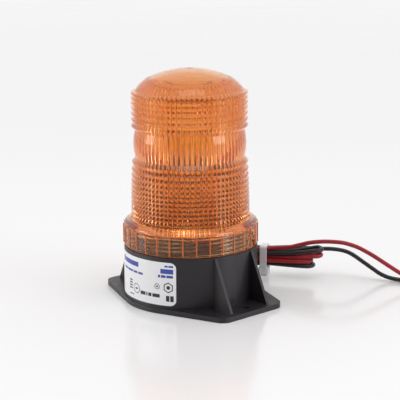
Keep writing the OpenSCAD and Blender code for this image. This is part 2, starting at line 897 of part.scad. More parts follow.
module rounded_box_outline(w, h, r) {
    square([w - 2 * r, h], center = true);
    square([w, h - 2 * r], center = true);
    for (sx = [-1, 1]) {
        for (sy = [-1, 1]) {
            translate([sx * (w / 2 - r), sy * (h / 2 - r)]) circle(r = r);
        }
    }
}

module cable_tie() {
    strap_t = 1.2;
    play = 0.3;
    inner_w = hank_t + play;
    inner_h = hank_h + play;
    head = [7.2, 6.4, 5.2];
    head_z = 0.4 - inner_h / 2 - strap_t - head[2];
    tail_t = 1.1;
    tail_l = 1;
    color([0.92, 0.93, 0.94])
        translate([hank_mid[0], hank_mid[1], hank_z])
            rotate([0, 0, hank_turn]) {
                rotate([90, 0, 90])
                    linear_extrude(height = tie_w, center = true)
                        difference() {
                            rounded_box_outline(inner_w + 2 * strap_t, inner_h + 2 * strap_t, 2);
                            rounded_box_outline(inner_w, inner_h, 0.5);
                        }
                translate([0, -1, head_z])
                    linear_extrude(height = head[2]) rounded_box_outline(head[0], head[1], 1);
                translate([-tie_w / 2, -3.5, head_z - tail_l]) cube([tie_w, tail_t, tail_l + 1]);
            }
}

base_housing();
bottom_cover();
cover_seal();
cover_screws();
lens();
lens_gasket();
label();
tube_post();
post_screws();
tube_socket();
socket_contacts();
tube_plug();
tube_pins();
tube_glass();
tube_electrodes();
trigger_wire();
post_wires();
circuit_board();
board_screws();
transformer_core();
transformer_bobbin();
transformer_winding();
storage_capacitor();
capacitor_sleeve();
trigger_coil();
heat_sink();
switching_transistor();
transistor_screw();
film_capacitors();
power_resistors();
diodes();
solder_posts();
wire_grommet();
inner_red_lead();
inner_black_lead();
red_lead_exit();
black_lead_exit();
lead_hank();
red_lead_tail();
black_lead_tail();
cable_tie();
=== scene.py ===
"""Looks of the bolt-down strobe beacon: amber screw-on lens, black housing, label and two tied leads."""

import math

import bmesh
import bpy
from mathutils import Matrix, Vector


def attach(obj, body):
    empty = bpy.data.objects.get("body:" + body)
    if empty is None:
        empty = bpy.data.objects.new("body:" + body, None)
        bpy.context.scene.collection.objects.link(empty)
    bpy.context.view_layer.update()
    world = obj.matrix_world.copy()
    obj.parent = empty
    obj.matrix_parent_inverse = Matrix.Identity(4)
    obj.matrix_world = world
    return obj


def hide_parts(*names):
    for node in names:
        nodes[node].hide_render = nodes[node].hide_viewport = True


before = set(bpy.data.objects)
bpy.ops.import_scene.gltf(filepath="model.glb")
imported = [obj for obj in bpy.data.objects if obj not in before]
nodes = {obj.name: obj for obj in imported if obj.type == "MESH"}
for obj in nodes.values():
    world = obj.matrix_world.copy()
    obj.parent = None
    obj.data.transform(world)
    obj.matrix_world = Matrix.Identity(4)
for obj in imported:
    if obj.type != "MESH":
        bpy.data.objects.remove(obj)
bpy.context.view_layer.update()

MM = 0.001


# ---------------------------------------------------------------- camera


def make_camera():
    """A long lens a little above the lens cap, looking down past the label corner."""
    turn, yaw, pitch, roll = 0.8593, 0.0023, 0.2082, 0.0099
    forward = Vector((math.sin(yaw) * math.cos(pitch), math.cos(yaw) * math.cos(pitch), -math.sin(pitch)))
    level = Vector((math.cos(yaw), -math.sin(yaw), 0))
    down = forward.cross(level)
    right = math.cos(roll) * level + math.sin(roll) * down
    down = -math.sin(roll) * level + math.cos(roll) * down
    axes = Matrix((right, -down, -forward)).transposed()
    data = bpy.data.cameras.new("camera")
    data.lens = 110.07
    data.sensor_width = 36
    data.shift_x = 0.0175
    data.shift_y = -0.04375
    data.clip_end = 100
    camera = bpy.data.objects.new("camera", data)
    bpy.context.scene.collection.objects.link(camera)
    camera.matrix_world = (
        Matrix.Translation((0.6020, -0.5190, 0.2456)) @ (Matrix.Rotation(turn, 3, "Z") @ axes).to_4x4()
    )
    bpy.context.scene.camera = camera


# ---------------------------------------------------------------- material helpers


def new_material(name):
    """An empty node material, with its tree, Principled shader and object coordinates."""
    material = bpy.data.materials.new(name)
    material.use_nodes = True
    tree = material.node_tree
    shader = tree.nodes["Principled BSDF"]
    coords = tree.nodes.new("ShaderNodeTexCoord")
    return material, tree, shader, coords.outputs["Object"]


def noise(tree, coords, size, detail=3.0, roughness=0.55, stretch=None):
    """Noise whose features are about size millimetres across."""
    if stretch:
        mapping = tree.nodes.new("ShaderNodeMapping")
        mapping.inputs["Scale"].default_value = stretch
        tree.links.new(coords, mapping.inputs["Vector"])
        coords = mapping.outputs["Vector"]
    texture = tree.nodes.new("ShaderNodeTexNoise")
    texture.inputs["Scale"].default_value = 1 / (size * MM)
    texture.inputs["Detail"].default_value = detail
    texture.inputs["Roughness"].default_value = roughness
    tree.links.new(coords, texture.inputs["Vector"])
    return texture.outputs["Fac"]


def ramp(tree, value, stops):
    """Colours along a value, from (position, colour) stops."""
    node = tree.nodes.new("ShaderNodeValToRGB")
    band = node.color_ramp
    while len(band.elements) < len(stops):
        band.elements.new(0.5)
    for element, (place, colour) in zip(band.elements, stops):
        element.position = place
        element.color = (*colour, 1)
    tree.links.new(value, node.inputs["Fac"])
    return node.outputs["Color"]


def spread(tree, value, low, high):
    """A value from about 0.3..0.7 spread over low..high."""
    node = tree.nodes.new("ShaderNodeMapRange")
    node.inputs["From Min"].default_value = 0.3
    node.inputs["From Max"].default_value = 0.7
    node.inputs["To Min"].default_value = low
    node.inputs["To Max"].default_value = high
    tree.links.new(value, node.inputs["Value"])
    return node.outputs["Result"]


def bump(tree, shader, height, depth, edge=None):
    """Bump of that depth in millimetres; edge rounds the corners by that many millimetres."""
    node = tree.nodes.new("ShaderNodeBump")
    node.inputs["Strength"].default_value = 1
    node.inputs["Distance"].default_value = depth * MM
    tree.links.new(height, node.inputs["Height"])
    if edge:
        bevel = tree.nodes.new("ShaderNodeBevel")
        bevel.samples = 4
        bevel.inputs["Radius"].default_value = edge * MM
        tree.links.new(bevel.outputs["Normal"], node.inputs["Normal"])
    tree.links.new(node.outputs["Normal"], shader.inputs["Normal"])


def moulded(name, light, dark, rough, grain=0.35, depth=0.012, edge=0.25, **sockets):
    """Moulded plastic, rubber or metal: colour, gloss and surface all vary at their own scales."""
    material, tree, shader, coords = new_material(name)
    broad = noise(tree, coords, 9, 4)
    tree.links.new(ramp(tree, broad, [(0.3, dark), (0.7, light)]), shader.inputs["Base Color"])
    patch = noise(tree, coords, 3.5, 5)
    tree.links.new(spread(tree, patch, rough - 0.06, rough + 0.08), shader.inputs["Roughness"])
    bump(tree, shader, noise(tree, coords, grain, 2), depth, edge)
    for socket, value in sockets.items():
        shader.inputs[socket.replace("_", " ")].default_value = value
    return material


def metal(name, light, dark, rough=0.3, lay=(1, 1, 1)):
    """Drawn or plated metal with fine marks along its lay."""
    material, tree, shader, coords = new_material(name)
    marks = noise(tree, coords, 0.8, 4, 0.6, lay)
    tree.links.new(ramp(tree, marks, [(0.3, dark), (0.7, light)]), shader.inputs["Base Color"])
    tree.links.new(spread(tree, marks, rough - 0.08, rough + 0.12), shader.inputs["Roughness"])
    bump(tree, shader, marks, 0.006, 0.1)
    shader.inputs["Metallic"].default_value = 1
    return material


def amber_plastic(name, pale, deep, clearness):
    """Clear orange acrylic: tinted where light goes in and out, and more so where it is thick."""
    material, tree, shader, coords = new_material(name)
    broad = noise(tree, coords, 18, 3)
    tint = ramp(tree, broad, [(0.3, deep), (0.7, pale)])
    tree.links.new(tint, shader.inputs["Base Color"])
    shader.inputs["Transmission Weight"].default_value = clearness * CLEARNESS
    shader.inputs["IOR"].default_value = 1.49
    shader.inputs["Specular IOR Level"].default_value = 0.7
    haze = noise(tree, coords, 2.2, 4)
    tree.links.new(spread(tree, haze, 0.015, 0.05), shader.inputs["Roughness"])
    bump(tree, shader, noise(tree, coords, 9, 1), 0.01)
    glow = tree.nodes.new("ShaderNodeBsdfTranslucent")
    tree.links.new(ramp(tree, broad, [(0.3, AMBER_GLOW[0]), (0.7, AMBER_GLOW[1])]), glow.inputs["Color"])
    milky = tree.nodes.new("ShaderNodeMixShader")
    milky.inputs["Fac"].default_value = AMBER_MILK
    tree.links.new(shader.outputs["BSDF"], milky.inputs[1])
    tree.links.new(glow.outputs["BSDF"], milky.inputs[2])
    clear = tree.nodes.new("ShaderNodeBsdfTransparent")
    clear.inputs["Color"].default_value = (*AMBER_SHADE, 1)
    rays = tree.nodes.new("ShaderNodeLightPath")
    mix = tree.nodes.new("ShaderNodeMixShader")
    tree.links.new(rays.outputs["Is Shadow Ray"], mix.inputs["Fac"])
    tree.links.new(milky.outputs["Shader"], mix.inputs[1])
    tree.links.new(clear.outputs["BSDF"], mix.inputs[2])
    tree.links.new(mix.outputs["Shader"], tree.nodes["Material Output"].inputs["Surface"])
    soak = tree.nodes.new("ShaderNodeVolumeAbsorption")
    soak.inputs["Color"].default_value = (*AMBER_DEPTH, 1)
    soak.inputs["Density"].default_value = AMBER_DENSITY
    tree.links.new(soak.outputs["Volume"], tree.nodes["Material Output"].inputs["Volume"])
    return material


def clear_glass():
    """Thin quartz glass of the flash tube."""
    material, tree, shader, coords = new_material("quartz_glass")
    streak = noise(tree, coords, 3, 3, 0.5, (1, 1, 0.2))
    tree.links.new(
        ramp(tree, streak, [(0.3, (0.9, 0.93, 0.92)), (0.7, (1, 1, 1))]), shader.inputs["Base Color"]
    )
    tree.links.new(spread(tree, streak, 0.0, 0.04), shader.inputs["Roughness"])
    shader.inputs["Transmission Weight"].default_value = 1
    shader.inputs["IOR"].default_value = 1.46
    return material


def nylon():
    """Natural nylon of the cable tie: milky, lets some light through."""
    material, tree, shader, coords = new_material("natural_nylon")
    cloud = noise(tree, coords, 2.5, 4)
    milk = ramp(tree, cloud, [(0.3, (0.74, 0.75, 0.76)), (0.7, (0.86, 0.86, 0.87))])
    tree.links.new(milk, shader.inputs["Base Color"])
    tree.links.new(spread(tree, cloud, 0.28, 0.42), shader.inputs["Roughness"])
    shader.inputs["Subsurface Weight"].default_value = 0.4
    shader.inputs["Subsurface Radius"].default_value = (0.9, 0.9, 1)
    shader.inputs["Subsurface Scale"].default_value = 2.5 * MM
    shader.inputs["Transmission Weight"].default_value = 0.25
    shader.inputs["IOR"].default_value = 1.53
    bump(tree, shader, noise(tree, coords, 0.5, 2), 0.01, 0.25)
    return material


CLEARNESS = 0.985
AMBER_PALE = (0.93, 0.655, 0.315)
AMBER_DEEP = (0.91, 0.605, 0.275)
AMBER_GLOW = ((0.86, 0.26, 0.035), (0.92, 0.3, 0.05))
AMBER_MILK = 0.06
# Painted glints: deeper, less clear orange for the grip ribs and the collar's bottom edge, standing in for
# light the ribs catch and bend.
RIB_GLINT_PALE = (0.86, 0.24, 0.05)
RIB_GLINT_DEEP = (0.8, 0.2, 0.04)
AMBER_SHADE = (0.96, 0.66, 0.38)
AMBER_DEPTH = (0.93, 0.42, 0.05)
AMBER_DENSITY = 60


# ---------------------------------------------------------------- mesh helpers


def mesh_object(name, verts, faces, material, body, smooth=True):
    """A mesh piece in metres from points in millimetres, riding on a body."""
    mesh = bpy.data.meshes.new(name)
    mesh.from_pydata([[c * MM for c in v] for v in verts], [], faces)
    mesh.validate()
    work = bmesh.new()
    work.from_mesh(mesh)
    bmesh.ops.recalc_face_normals(work, faces=work.faces)
    work.to_mesh(mesh)
    work.free()
    mesh.materials.append(material)
    for polygon in mesh.polygons:
        polygon.use_smooth = smooth
    piece = bpy.data.objects.new(name, mesh)
    bpy.context.scene.collection.objects.link(piece)
    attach(piece, body)
    return piece


def smooth_by_angle(piece, degrees):
    """Smooth shading, but with sharp edges where faces meet at more than that angle."""
    for polygon in piece.data.polygons:
        polygon.use_smooth = True
    piece.data.set_sharp_from_angle(angle=math.radians(degrees))


def lathe(rows, angle_of, count, first=0):
    """Points and faces of rows turned about Z, counted on from first.
    A row is (radius_of(k), height), or (None, height) for a pole."""
    verts, faces, starts = [], [], []
    for radius_of, z in rows:
        starts.append(first + len(verts))
        if radius_of is None:
            verts.append((0, 0, z))
            continue
        for k in range(count):
            a, r = angle_of(k), radius_of(k)
            verts.append((r * math.cos(a), r * math.sin(a), z))
    for i in range(len(rows) - 1):
        a, b = starts[i], starts[i + 1]
        for k in range(count):
            n = (k + 1) % count
            if rows[i][0] is None:
                faces.append((a, b + k, b + n))
            elif rows[i + 1][0] is None:
                faces.append((a + k, a + n, b))
            else:
                faces.append((a + k, a + n, b + n, b + k))
    return verts, faces


# ---------------------------------------------------------------- lens

LENS_TOP = 154
COLLAR_R = 44.6
COLLAR_Z = 37.7
BORE_R = 42.6
LEDGE_Z = 50.9
FLUTES = 72
FLUTE_TIP_R = 34.3
FLUTE_DEPTH = 0.7
UPPER_CREST_R = 38.4
BELLY_R = 37.35
BELLY_Z = 105
DOME_EDGE = (28.7, 147.3)
DOME_R = (DOME_EDGE[0] ** 2 + (LENS_TOP - DOME_EDGE[1]) ** 2) / (2 * (LENS_TOP - DOME_EDGE[1]))
BEVEL_INSIDE = ((33.2, 138.6), (27.8, 144.7))
GRIP_RIBS = 32
COLUMNS_PER_RIB = 9
RIB_FLANKS = (-0.75, -0.5, 0.5, 0.75)
RIB_OUT = 0.6
RIB_TURN = -2.4
OUTER_COLUMNS = GRIP_RIBS * COLUMNS_PER_RIB
PER_FLUTE = 8
FLUTE_TURN = -3.4
RING_STEPS = 9
UPPER_RING_DEPTH = 1.9
LOWER_RING_DEPTH = 1.7
DOME_WALL = 2.4
EDGE_ROWS = 2
COLLAR_ROWS = 11
LENS_SHARP = 42
THREAD_PITCH = 2.7
THREAD_Z = 41.75


def ring_pitch(i):
    return 2.8 + 1.9 * math.exp(-i / 2.2)


def ring_flank(count, way, start, crest_of):
    """Flank of ring prisms with round crests, counted away from the belly: way is +1 up and -1 down."""
    points, z = [], start
    depth = UPPER_RING_DEPTH if way > 0 else LOWER_RING_DEPTH
    for i in range(count):
        for step in range(RING_STEPS):
            scoop = depth * math.sin(math.pi * step / RING_STEPS) ** 3
            points.append((crest_of(i) - scoop, z + way * ring_pitch(i) * step / RING_STEPS))
        z += way * ring_pitch(i)
    return points, z


def dome_height(r):
    return LENS_TOP - DOME_R + math.sqrt(DOME_R**2 - r * r)


def lens_outside():
    """Outline of the lens from the collar's bottom edge up to the gate mark on the dome."""
    upper, lip_z = ring_flank(6, 1, BELLY_Z + 11.6, lambda i: UPPER_CREST_R)
    lower, _ = ring_flank(12, -1, BELLY_Z - 11.9, lambda i: 39.5 - math.exp(-i / 4))
    points = [(COLLAR_R, 51.6), (44.45, 52.3), (44.1, 53), (43.2, 53.9), (41.6, 54.6), (40, 55), (39.6, 55.6)]
    points += lower[::-1]
    for step in range(15):
        k = -1 + step / 7
        points.append((BELLY_R - 1.3 * k * k, BELLY_Z + 9.1 * k))
    points += upper
    points += [(UPPER_CREST_R, lip_z), (38.3, lip_z + 0.5), (38, lip_z + 0.95), (36.4, lip_z + 1.5)]
    bevel = (35.2, lip_z + 2.3)
    for step in range(10):
        t = step / 10
        r = bevel[0] + (DOME_EDGE[0] - bevel[0]) * t**1.35
        points.append((r, bevel[1] + (DOME_EDGE[1] - bevel[1]) * t))
    for step in range(20):
        r = DOME_EDGE[0] * (1 - step / 20)
        points.append((r, dome_height(r)))
    return points + [(1.25, LENS_TOP - 0.15), (1, LENS_TOP - 0.5), (0.5, LENS_TOP - 0.68)]


def outer_angle(k):
    """The columns of each grip rib, close together at the rib's two flanks."""
    rib, place = divmod(k, COLUMNS_PER_RIB)
    between = 360 / GRIP_RIBS - RIB_FLANKS[3] - RIB_FLANKS[3]
    spare = COLUMNS_PER_RIB - 3
    flank = RIB_FLANKS[place] if place < 4 else RIB_FLANKS[3] + (place - 3) * between / spare
    return math.radians(RIB_TURN + rib * 360 / GRIP_RIBS + flank)


def inner_angle(k):
    """Even columns, with a valley between flutes at each whole flute."""
    return math.tau * k / (FLUTES * PER_FLUTE) + math.radians(FLUTE_TURN)


def plain(r):
    return lambda k: r


def ribbed(r, out):
    return lambda k: r + (out if k % COLUMNS_PER_RIB in (1, 2) else 0)


def fluted(r, depth):
    return lambda k: r + depth * (1 - math.sin(math.pi * (k % PER_FLUTE) / PER_FLUTE))


def threaded(z):
    """Bore of the collar at that height, less the thread's helical ridge."""
    def radius(k):
        phase = (z - THREAD_Z) / THREAD_PITCH - inner_angle(k) / math.tau
        off = abs((phase + 0.5) % 1 - 0.5) * THREAD_PITCH
        return BORE_R - 1.3 * max(0, min(1, (0.75 - off) / 0.35))
    return radius


def make_lens():
    """One closed wall: smooth outside with ring prisms, fluted bore, and the thread inside the collar."""
    rows = [(plain(COLLAR_R - 0.3), COLLAR_Z), (plain(COLLAR_R), COLLAR_Z + 0.4)]
    rows += [(plain(COLLAR_R), COLLAR_Z + 0.7)]
    rows += [(ribbed(COLLAR_R, RIB_OUT), COLLAR_Z + 0.8 + 12.9 * s / 6) for s in range(7)]
    rows += [(plain(COLLAR_R), COLLAR_Z + 13.85)]
    rows += [(plain(r), z) for r, z in lens_outside()[1:]]
    rows += [(None, LENS_TOP - 0.7)]
    verts, faces = lathe(rows, outer_angle, OUTER_COLUMNS)
    inner_columns = FLUTES * PER_FLUTE
    low, high = BEVEL_INSIDE
    rows = [(plain(BORE_R + 0.2), COLLAR_Z), (plain(BORE_R), COLLAR_Z + 0.5)]
    rows += [(threaded(z), z) for z in [LEDGE_Z - 0.9 - 0.45 * s for s in range(25, -1, -1)]]
    rows += [(plain(BORE_R), LEDGE_Z - 0.3), (plain(BORE_R - 0.3), LEDGE_Z - 0.04)]
    rows += [(plain(36.5), LEDGE_Z - 0.02)]
    rows += [(fluted(FLUTE_TIP_R, FLUTE_DEPTH), LEDGE_Z + (low[1] - 1 - LEDGE_Z) * s / 5) for s in range(6)]
    for step in range(9):
        t = step / 8
        r, z = low[0] + (high[0] - low[0]) * t, low[1] + (high[1] - low[1]) * t
        rows.append((fluted(r - 0.2, 0.8 * min(1, 4 * (1 - t))), z))
    for step in range(9, 0, -1):
        r = (high[0] - 1.2) * step / 9
        rows.append((plain(r), dome_height(r) - DOME_WALL))
    rows.append((None, LENS_TOP - DOME_WALL))
    bore_verts, bore_faces = lathe(rows, inner_angle, inner_columns, len(verts))
    share = inner_columns // OUTER_COLUMNS
    foot = []
    for k in range(OUTER_COLUMNS):
        bore = [len(verts) + (share * k + s) % inner_columns for s in range(share + 1)]
        foot.append(((k + 1) % OUTER_COLUMNS, k, *bore))
    acrylic = amber_plastic("amber_acrylic", AMBER_PALE, AMBER_DEEP, 1)
    lens = mesh_object("amber_lens", verts + bore_verts, faces + bore_faces + foot, acrylic, "lens_cap")
    # The grip ribs and the collar's bottom edge get a deeper, less clear copy of the acrylic: painted glints
    # that stand in for light caught in the ribs.
    lens.data.materials.append(amber_plastic("amber_rib_painted_glint", RIB_GLINT_PALE, RIB_GLINT_DEEP, 0.45))
    for polygon in lens.data.polygons:
        corners = list(polygon.vertices)
        on_edge = max(corners) < EDGE_ROWS * OUTER_COLUMNS
        on_collar = EDGE_ROWS * OUTER_COLUMNS <= min(corners) and max(corners) < COLLAR_ROWS * OUTER_COLUMNS
        columns = {v % OUTER_COLUMNS % COLUMNS_PER_RIB for v in corners}
        if on_edge or on_collar and columns <= {0, 1, 2, 3}:
            polygon.material_index = 1
    smooth_by_angle(lens, LENS_SHARP)
    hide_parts("lens")


# ---------------------------------------------------------------- leads

LEAD_D = 3.0
STRAND_LENGTH = 7
STRAND_COUNT = 7
BUNDLE_R = 0.62
STRAND_R = 0.3
STRAND_TURNS = 0.6
HANK_MID = (1, 68)
HANK_TURN = math.radians(34)
COLUMN = 1.5
NEST = 0.75

RED_EXIT = [
    (-2.2, 45, 16), (-2.2, 48, 16), (-3.6, 52.5, 15.2), (-5.3, 57, 13.6), (-5.6, 60.5, 12.7), (-4, 62.9, 12.5)
]
BLACK_EXIT = [
    (2.2, 45, 16), (2.2, 48, 16), (1.6, 52.5, 14.2), (0, 57, 11.6), (-1.2, 60.4, 10), (-1.2, 63.4, 9.7)
]
RED_TAIL = [
    (16.8, 76.8, 22.6), (20, 79, 23.6), (23.2, 81.2, 24.7), (29, 85, 26.7), (35.8, 89.7, 27.9),
    (42, 94, 28.2), (48.4, 98.2, 27.9), (53.5, 101.5, 26.6), (58, 104.6, 24.7), (65, 109.4, 20.4),
    (73, 114.8, 14.6), (80, 119.4, 9.6), (87, 124, 5.4), (94.5, 128.6, 2.6), (103, 133, 1.7),
    (113, 137.4, 1.5), (124, 141, 1.5)
]
BLACK_TAIL = [
    (14.5, 83.8, 21), (18.8, 88, 20.6), (23.1, 91.3, 20.5), (27, 94, 20.5), (31, 96.6, 20.6),
    (36, 100, 20.8), (41, 103.3, 20.4), (45, 106.1, 19.3), (48.6, 108.5, 17.3), (54, 112.2, 13),
    (59.7, 116, 8.5), (64.3, 119.1, 4.9), (70, 122.6, 2.5), (77, 126.6, 1.6), (86, 131, 1.5),
    (96, 135, 1.5), (106, 138, 1.5)
]


def in_hank(along, across, z):
    """A point of the hank: along it from the tie, across it towards the housing side, and its height."""
    c, s = math.cos(HANK_TURN), math.sin(HANK_TURN)
    return (HANK_MID[0] + c * along + s * across, HANK_MID[1] + s * along - c * across, z)


def fold(side, reach, mid, half, starts, heights, columns):
    """One lobe of the hank: out from the tie, round a half turn, and back to the tie.
    starts is the sign of the side that it goes out on; heights are in, before the turn, after it and out."""
    straight = reach - half
    runs = []
    for column, height, turn_height, sign in (
        (columns[0], heights[0], heights[1], starts), (columns[1], heights[3], heights[2], -starts)
    ):
        run = [in_hank(0, column, height)]
        for step in range(1, 6):
            u = step / 5
            flare = u * u * (3 - 2 * u)
            across = column + (mid + sign * half - column) * flare
            run.append(in_hank(side * straight * u, across, height + (turn_height - height) * u**1.8))
        runs.append(run)
    turn = []
    for step in range(1, 8):
        a = math.pi * step / 8
        z = heights[1] + (heights[2] - heights[1]) * step / 8
        turn.append(in_hank(side * (straight + half * math.sin(a)), mid + starts * half * math.cos(a), z))
    return runs[0] + turn + runs[1][::-1]


def joined(*stretches):
    """The stretches end to end, with each shared point kept once."""
    points = []
    for stretch in stretches:
        for p in stretch:
            if not points or (Vector(p) - Vector(points[-1])).length > 0.5:
                points.append(p)
    return points


def smooth_line(points, spacing):
    """Catmull-Rom points through the route, about spacing millimetres apart."""
    line = []
    for i in range(len(points) - 1):
        p0, p1 = Vector(points[max(i - 1, 0)]), Vector(points[i])
        p2, p3 = Vector(points[i + 1]), Vector(points[min(i + 2, len(points) - 1)])
        steps = max(2, round((p2 - p1).length / spacing))
        for s in range(steps):
            t = s / steps
            line.append(0.5 * (2 * p1 + (p2 - p0) * t + (2 * p0 - 5 * p1 + 4 * p2 - p3) * t * t
                               + (3 * p1 - p0 - 3 * p2 + p3) * t**3))
    return line + [Vector(points[-1])]


def layer(i):
    """Height of layer i at the tie, and its two columns: the layers nest in each other."""
    shift = NEST if i % 2 else -NEST
    return 9.7 + 2.6 * i, COLUMN + shift, -COLUMN + shift


def red_route():
    low, low_front, low_back = layer(1)
    high, high_front, high_back = layer(2)
    top, top_front, _ = layer(4)
    return joined(
        RED_EXIT,
        fold(1, 33.5, 0, 4.2, 1, (low, 13.4, 13.8, low), (low_front, low_back)),
        fold(-1, 31, 0, 4.2, -1, (low, 13.2, 15.4, high), (low_back, high_front)),
        fold(1, 40.4, 0, 4.2, 1, (high, 17.6, 18, high), (high_front, high_back)),
        fold(-1, 36, 0, 4.8, -1, (high, 16.6, 20, top), (high_back, top_front)),
        RED_TAIL,
    )


def black_route():
    low, low_front, low_back = layer(0)
    high, high_front, high_back = layer(3)
    top, _, top_back = layer(4)
    return joined(
        BLACK_EXIT,
        fold(1, 35, 0, 4.2, 1, (low, 10.1, 10.5, low), (low_front, low_back)),
        fold(-1, 38, 0, 7.5, -1, (low, 12.2, 16.6, high), (low_back, high_front)),
        fold(1, 41, 0, 4.2, 1, (high, 21.6, 22.2, high), (high_front, high_back)),
        fold(-1, 30, -2.7, 4.2, 1, (high, 19.8, 21, top), (high_back, top_back)),
        BLACK_TAIL,
    )


def lead_material(name, light, dark):
    """Extruded PVC insulation: low sheen, faint drawing marks and small dull patches."""
    material, tree, shader, coords = new_material(name)
    cloud = noise(tree, coords, 6, 4)
    tree.links.new(ramp(tree, cloud, [(0.3, dark), (0.7, light)]), shader.inputs["Base Color"])
    tree.links.new(spread(tree, noise(tree, coords, 1.6, 4), 0.3, 0.5), shader.inputs["Roughness"])
    bump(tree, shader, noise(tree, coords, 0.7, 3), 0.02)
    return material


def strand_tubes(end, direction):
    """Points and faces of the bare strands, twisted together past the cut end of the insulation."""
    side = direction.cross(Vector((0, 0, 1))).normalized()
    up = side.cross(direction)
    verts, faces = [], []
    rings, corners = 14, 6
    for strand in range(STRAND_COUNT):
        middle = strand == 0
        first = len(verts)
        for i in range(rings + 1):
            t = i / rings
            a = math.tau * (strand / (STRAND_COUNT - 1) + STRAND_TURNS * t)
            reach = 0 if middle else BUNDLE_R * (1 + 0.25 * t * math.sin(3 * strand))
            centre = end + direction * (STRAND_LENGTH * t - 1) + (side * math.cos(a) + up * math.sin(a)) * reach
            for k in range(corners):
                b = math.tau * k / corners
                verts.append(centre + (side * math.cos(b) + up * math.sin(b)) * STRAND_R)
        for i in range(rings):
            for k in range(corners):
                a, n = first + i * corners + k, first + i * corners + (k + 1) % corners
                faces.append((a, n, n + corners, a + corners))
        faces.append(tuple(first + k for k in range(corners)))
        faces.append(tuple(first + rings * corners + k for k in range(corners))[::-1])
    return verts, faces


def make_lead(name, route, material, strand_material, cad_nodes):
    """One lead from its grommet hole, through the hank and out to its bare end."""
    line = smooth_line(route, 1.6)
    curve = bpy.data.curves.new(name, "CURVE")
    curve.dimensions = "3D"
    curve.bevel_depth = LEAD_D / 2 * MM
    curve.bevel_resolution = 4
    curve.use_fill_caps = True
    spline = curve.splines.new("POLY")
    spline.points.add(len(line) - 1)
    for point, place in zip(spline.points, line):
        point.co = (*(place * MM), 1)
    spline.use_smooth = True
    curve.materials.append(material)
    lead = bpy.data.objects.new(name, curve)
    bpy.context.scene.collection.objects.link(lead)
    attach(lead, "base")
    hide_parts(*cad_nodes)
    direction = (line[-1] - line[-3]).normalized()
    verts, faces = strand_tubes(line[-1], direction)
    strands = mesh_object(name + "_strands", verts, faces, strand_material, "base")


def make_leads():
    tinned = metal("tinned_copper", (0.86, 0.84, 0.8), (0.62, 0.58, 0.52), 0.32)
    red = lead_material("red_pvc", (0.36, 0.012, 0.02), (0.27, 0.008, 0.014))
    black = lead_material("black_pvc", (0.02, 0.019, 0.021), (0.009, 0.009, 0.01))
    make_lead("red_lead", red_route(), red, tinned, ["red_lead_exit", "red_lead_tail", "lead_hank"])
    make_lead("black_lead", black_route(), black, tinned, ["black_lead_exit", "black_lead_tail", "lead_hank"])


# ---------------------------------------------------------------- label

LABEL_R = 45.08
INK_LIFT = 0.03


def on_label(u, z, lift):
    """A point on the label: u millimetres round the wall from its middle, at height z."""
    r = LABEL_R - 0.3 * z / 37.2 + lift
    a = u / LABEL_R - math.pi / 2
    return (r * math.cos(a), r * math.sin(a), z)


def printed_strip(verts, faces, outline, inner=None):
    """Adds a flat printed shape on the label, given as corners (u, z); inner makes it a band."""
    first = len(verts)
    count = len(outline)
    if inner is None:
        middle = [sum(c[i] for c in outline) / count for i in range(2)]
        verts.extend(on_label(u, z, INK_LIFT) for u, z in outline)
        verts.append(on_label(*middle, INK_LIFT))
        faces.extend((first + k, first + (k + 1) % count, first + count) for k in range(count))
        return
    verts.extend(on_label(u, z, INK_LIFT) for u, z in [*outline, *inner])
    for k in range(count):
        n = (k + 1) % count
        faces.append((first + k, first + n, first + count + n, first + count + k))


def printed_bar(verts, faces, u, z, w, h):
    """Adds a printed bar that follows the wall."""
    steps = max(1, round(w / 0.8))
    first = len(verts)
    for s in range(steps + 1):
        verts.extend(on_label(u + w * s / steps, z + rise, INK_LIFT) for rise in (0, h))
    faces.extend((first + 2 * s, first + 2 * s + 2, first + 2 * s + 3, first + 2 * s + 1) for s in range(steps))


def regular(u, z, r, corners, turn=0.0):
    """Corners of a regular outline."""
    return [
        (u + r * math.cos(math.tau * k / corners + turn), z + r * math.sin(math.tau * k / corners + turn))
        for k in range(corners)
    ]


def dashes(verts, faces, u, z, widths, h, gap):
    """A row of short bars that stands for a printed line."""
    for w in widths:
        printed_bar(verts, faces, u, z, w, h)
        u += w + gap


